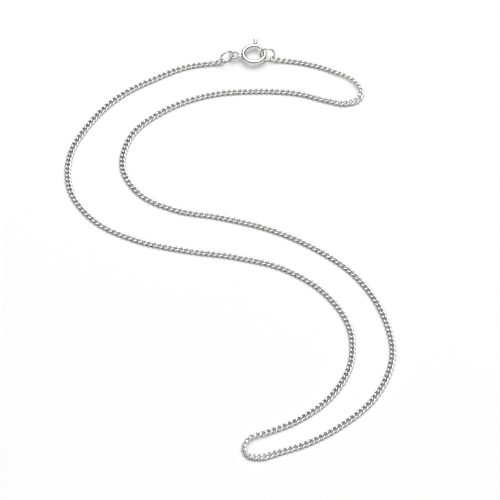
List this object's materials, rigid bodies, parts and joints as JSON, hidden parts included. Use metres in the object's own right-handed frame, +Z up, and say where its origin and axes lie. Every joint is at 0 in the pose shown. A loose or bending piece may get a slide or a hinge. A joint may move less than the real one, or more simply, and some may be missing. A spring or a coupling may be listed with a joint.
{
  "type": "curb chain necklace with a spring ring clasp",
  "caption": "Fine curb chain necklace laid down in an S, closed with a spring ring clasp that hangs between jump rings.",
  "frame": {"origin": "middle of the necklace's footprint, on the surface that it lies on", "axes": "+X to the viewer's right along the surface, +Y away from the viewer along the surface, +Z up"},
  "size_m": [0.0795, 0.1262, 0.0039],
  "materials": {
    "chain_silver": "polished sterling silver",
    "clasp_silver": "polished sterling silver",
    "bolt_silver": "polished sterling silver",
    "ring_silver": "polished sterling silver"
  },
  "bodies": {
    "necklace": {"chain": "chain_silver", "spring_ring_body": "clasp_silver", "left_jump_ring": "ring_silver", "right_jump_ring": "ring_silver"},
    "bolt": {"spring_ring_bolt": "bolt_silver"}
  },
  "joints": [
    {"name": "bolt_slide_round", "type": "hinge", "parent": "necklace", "child": "bolt", "pos_m": [0.00647, 0.0585, 0.0016], "axis": [0, 0, 1], "range_deg": [0, 56], "stiffness_Nm_per_rad": 0.002, "springref_deg": -17.19}
  ]
}
